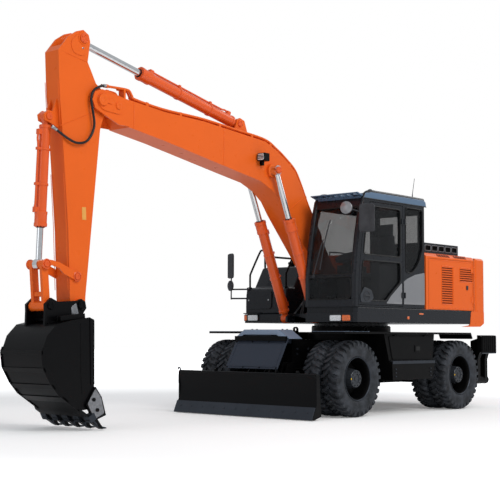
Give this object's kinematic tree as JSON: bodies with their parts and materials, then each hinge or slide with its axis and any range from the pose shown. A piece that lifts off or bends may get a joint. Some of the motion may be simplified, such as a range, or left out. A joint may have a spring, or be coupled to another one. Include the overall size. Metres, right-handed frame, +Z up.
{
  "type": "wheeled excavator",
  "caption": "Wheeled excavator with a one-piece boom, arm and bucket, a cab beside the boom, a dozer blade in front and stabilisers behind twin tyres.",
  "frame": {"origin": "on the ground, below the middle of the machine's length and width", "axes": "+X forward towards the blade, bucket and cab windscreen, +Y to the operator's left, +Z up"},
  "size_m": [8.4898, 3.04, 4.725],
  "materials": {
    "cab_glazing": "gloss",
    "counterweight_iron": "gloss",
    "dark_paint": "satin",
    "grey_paint": "satin",
    "orange_paint": "gloss",
    "rod_chrome": "polished",
    "tyre_rubber": "matte"
  },
  "bodies": {
    "chassis": {"chassis_frame": "dark_paint", "front_axle": "dark_paint", "rear_axle": "dark_paint", "fender_steps": "dark_paint", "front_cover": "dark_paint", "drive_line": "dark_paint", "outrigger_frame": "dark_paint"},
    "knuckle_left": {"knuckle_left": "dark_paint"},
    "knuckle_right": {"knuckle_right": "dark_paint"},
    "blade": {"blade": "dark_paint"},
    "blade_barrels": {"blade_barrels": "dark_paint"},
    "blade_rods": {"blade_rods": "rod_chrome"},
    "wheel_front_left": {"tyres_front_left": "tyre_rubber", "rim_front_left": "dark_paint"},
    "wheel_front_right": {"tyres_front_right": "tyre_rubber", "rim_front_right": "dark_paint"},
    "wheel_rear_left": {"tyres_rear_left": "tyre_rubber", "rim_rear_left": "dark_paint"},
    "wheel_rear_right": {"tyres_rear_right": "tyre_rubber", "rim_rear_right": "dark_paint"},
    "outrigger_left": {"outrigger_left": "dark_paint"},
    "outrigger_barrel_left": {"outrigger_barrel_left": "dark_paint"},
    "outrigger_rod_left": {"outrigger_rod_left": "rod_chrome"},
    "outrigger_right": {"outrigger_right": "dark_paint"},
    "outrigger_barrel_right": {"outrigger_barrel_right": "dark_paint"},
    "outrigger_rod_right": {"outrigger_rod_right": "rod_chrome"},
    "upper": {"platform": "dark_paint", "counterweight": "counterweight_iron", "hood_frame": "orange_paint", "engine": "dark_paint", "cab_shell": "grey_paint", "cab_glass": "cab_glazing", "fuel_tank": "dark_paint", "handrail": "dark_paint", "mirror_right": "dark_paint", "cab_roof": "dark_paint", "seat": "dark_paint", "cab_controls": "dark_paint", "mirror_left": "dark_paint", "front_lamps": "dark_paint"},
    "engine_hood": {"engine_hood": "orange_paint", "intake_box": "orange_paint"},
    "side_door_left": {"side_door_left": "orange_paint"},
    "side_door_right": {"side_door_right": "orange_paint"},
    "cab_door": {"cab_door": "grey_paint", "door_glass": "cab_glazing"},
    "boom": {"boom": "orange_paint", "boom_lamp": "dark_paint"},
    "boom_barrels": {"boom_barrels": "orange_paint"},
    "boom_rods": {"boom_rods": "rod_chrome"},
    "arm": {"arm": "orange_paint"},
    "arm_barrel": {"arm_barrel": "orange_paint"},
    "arm_rod": {"arm_rod": "rod_chrome"},
    "guide_levers": {"guide_levers": "dark_paint"},
    "bucket_link": {"bucket_link": "dark_paint"},
    "bucket_barrel": {"bucket_barrel": "orange_paint"},
    "bucket_rod": {"bucket_rod": "rod_chrome"},
    "bucket": {"bucket": "dark_paint"}
  },
  "joints": [
    {"name": "steer_left", "type": "hinge", "parent": "chassis", "child": "knuckle_left", "pos_m": [-0.445, 0.6, 0.52], "axis": [0, 0, 1], "range_deg": [-30, 30]},
    {"name": "steer_right", "type": "hinge", "parent": "chassis", "child": "knuckle_right", "pos_m": [-0.445, -0.6, 0.52], "axis": [0, 0, 1], "range_deg": [-30, 30]},
    {"name": "spin_front_left", "type": "hinge", "parent": "knuckle_left", "child": "wheel_front_left", "pos_m": [-0.445, 0.966, 0.52], "axis": [0, 1, 0], "continuous": true},
    {"name": "spin_front_right", "type": "hinge", "parent": "knuckle_right", "child": "wheel_front_right", "pos_m": [-0.445, -0.966, 0.52], "axis": [0, 1, 0], "continuous": true},
    {"name": "spin_rear_left", "type": "hinge", "parent": "chassis", "child": "wheel_rear_left", "pos_m": [-3.045, 0.966, 0.52], "axis": [0, 1, 0], "continuous": true},
    {"name": "spin_rear_right", "type": "hinge", "parent": "chassis", "child": "wheel_rear_right", "pos_m": [-3.045, -0.966, 0.52], "axis": [0, 1, 0], "continuous": true},
    {"name": "blade_lift", "type": "hinge", "parent": "chassis", "child": "blade", "pos_m": [-0.015, 0, 0.43], "axis": [0, -1, 0], "range_deg": [0, 25]},
    {"name": "blade_tilt", "type": "hinge", "parent": "chassis", "child": "blade_barrels", "pos_m": [-0.045, 0, 0.88], "axis": [0, 1, 0], "range_deg": [-10.06, 0.2]},
    {"name": "blade_stroke", "type": "slide", "parent": "blade_barrels", "child": "blade_rods", "axis": [0.595, 0, -0.8037], "range_m": [-0.12225, 0.002]},
    {"name": "outrigger_swing_left", "type": "hinge", "parent": "chassis", "child": "outrigger_left", "pos_m": [-3.875, 1.08, 0.42], "axis": [-1, 0, 0], "range_deg": [0, 112]},
    {"name": "outrigger_tilt_left", "type": "hinge", "parent": "chassis", "child": "outrigger_barrel_left", "pos_m": [-3.875, 0.2, 0.95], "axis": [-1, 0, 0], "range_deg": [-0.2, 7.84]},
    {"name": "outrigger_stroke_left", "type": "slide", "parent": "outrigger_barrel_left", "child": "outrigger_rod_left", "axis": [0, 0.951, -0.3091], "range_m": [-0.002, 0.44787]},
    {"name": "outrigger_swing_right", "type": "hinge", "parent": "chassis", "child": "outrigger_right", "pos_m": [-3.875, -1.08, 0.42], "axis": [1, 0, 0], "range_deg": [0, 112]},
    {"name": "outrigger_tilt_right", "type": "hinge", "parent": "chassis", "child": "outrigger_barrel_right", "pos_m": [-3.875, -0.2, 0.95], "axis": [1, 0, 0], "range_deg": [-0.2, 7.84]},
    {"name": "outrigger_stroke_right", "type": "slide", "parent": "outrigger_barrel_right", "child": "outrigger_rod_right", "axis": [0, -0.951, -0.3091], "range_m": [-0.002, 0.44787]},
    {"name": "slew", "type": "hinge", "parent": "chassis", "child": "upper", "pos_m": [-1.945, 0, 1.24], "axis": [0, 0, 1], "continuous": true},
    {"name": "cab_door_swing", "type": "hinge", "parent": "upper", "child": "cab_door", "pos_m": [-1.547, 1.262, 2.2], "axis": [0, 0, 1], "range_deg": [0, 170]},
    {"name": "side_door_left_swing", "type": "hinge", "parent": "upper", "child": "side_door_left", "pos_m": [-3.441, 1.246, 1.8], "axis": [0, 0, 1], "range_deg": [0, 100]},
    {"name": "side_door_right_swing", "type": "hinge", "parent": "upper", "child": "side_door_right", "pos_m": [-3.441, -1.246, 1.8], "axis": [0, 0, -1], "range_deg": [0, 100]},
    {"name": "hood_lift", "type": "hinge", "parent": "upper", "child": "engine_hood", "pos_m": [-2.165, 0, 2.348], "axis": [0, 1, 0], "range_deg": [0, 60]},
    {"name": "boom_lift", "type": "hinge", "parent": "upper", "child": "boom", "pos_m": [-1.345, 0, 1.75], "axis": [0, -1, 0], "range_deg": [-50, 38]},
    {"name": "boom_tilt", "type": "hinge", "parent": "upper", "child": "boom_barrels", "pos_m": [-0.725, 0, 1.35], "axis": [0, 1, 0], "range_deg": [-37.44, 49.2]},
    {"name": "boom_stroke", "type": "slide", "parent": "boom_barrels", "child": "boom_rods", "axis": [0.3923, 0, 0.9198], "range_m": [-0.57447, 0.43708]},
    {"name": "arm_swing", "type": "hinge", "parent": "boom", "child": "arm", "pos_m": [3.255, 0, 3.91], "axis": [0, 1, 0], "range_deg": [-74, 35]},
    {"name": "arm_tilt", "type": "hinge", "parent": "boom", "child": "arm_barrel", "pos_m": [0.675, 0, 3.995], "axis": [0, 1, 0], "range_deg": [-4.94, 2.44]},
    {"name": "arm_stroke", "type": "slide", "parent": "arm_barrel", "child": "arm_rod", "axis": [0.9766, 0, 0.2149], "range_m": [-0.85958, 0.40761]},
    {"name": "bucket_curl", "type": "hinge", "parent": "arm", "child": "bucket", "pos_m": [3.535, 0, 1.44], "axis": [0, 1, 0], "range_deg": [-30, 145]},
    {"name": "lever_swing", "type": "hinge", "parent": "arm", "child": "guide_levers", "pos_m": [3.569, 0, 1.777], "axis": [0, 1, 0], "range_deg": [-20.6, 98.8]},
    {"name": "link_swing", "type": "hinge", "parent": "guide_levers", "child": "bucket_link", "pos_m": [4.023, 0, 1.905], "axis": [0, 1, 0], "range_deg": [-39.35, 8.3]},
    {"name": "bucket_cylinder_tilt", "type": "hinge", "parent": "arm", "child": "bucket_barrel", "pos_m": [3.959, 0, 3.629], "axis": [0, 1, 0], "range_deg": [-1.76, 7.74]},
    {"name": "bucket_cylinder_stroke", "type": "slide", "parent": "bucket_barrel", "child": "bucket_rod", "axis": [0.0371, 0, -0.9993], "range_m": [-0.13185, 0.62962]}
  ],
  "couplings": [
    {"joint": "steer_right", "follows": "steer_left", "ratio": 1},
    {"joint": "blade_tilt", "follows": "blade_lift", "ratio": -0.39448},
    {"joint": "blade_stroke", "follows": "blade_lift", "m_per_rad": -0.2756},
    {"joint": "outrigger_tilt_left", "follows": "outrigger_swing_left", "ratio": 0.068194},
    {"joint": "outrigger_stroke_left", "follows": "outrigger_swing_left", "m_per_rad": 0.22809},
    {"joint": "outrigger_tilt_right", "follows": "outrigger_swing_right", "ratio": 0.068194},
    {"joint": "outrigger_stroke_right", "follows": "outrigger_swing_right", "m_per_rad": 0.22809},
    {"joint": "boom_tilt", "follows": "boom_lift", "ratio": -0.98},
    {"joint": "boom_stroke", "follows": "boom_lift", "m_per_rad": 0.656},
    {"joint": "arm_tilt", "follows": "arm_swing", "ratio": 0.064},
    {"joint": "arm_stroke", "follows": "arm_swing", "m_per_rad": 0.664},
    {"joint": "lever_swing", "follows": "bucket_curl", "ratio": 0.68},
    {"joint": "link_swing", "follows": "bucket_curl", "ratio": -0.27},
    {"joint": "bucket_cylinder_tilt", "follows": "bucket_curl", "ratio": 0.052},
    {"joint": "bucket_cylinder_stroke", "follows": "bucket_curl", "m_per_rad": 0.248}
  ]
}
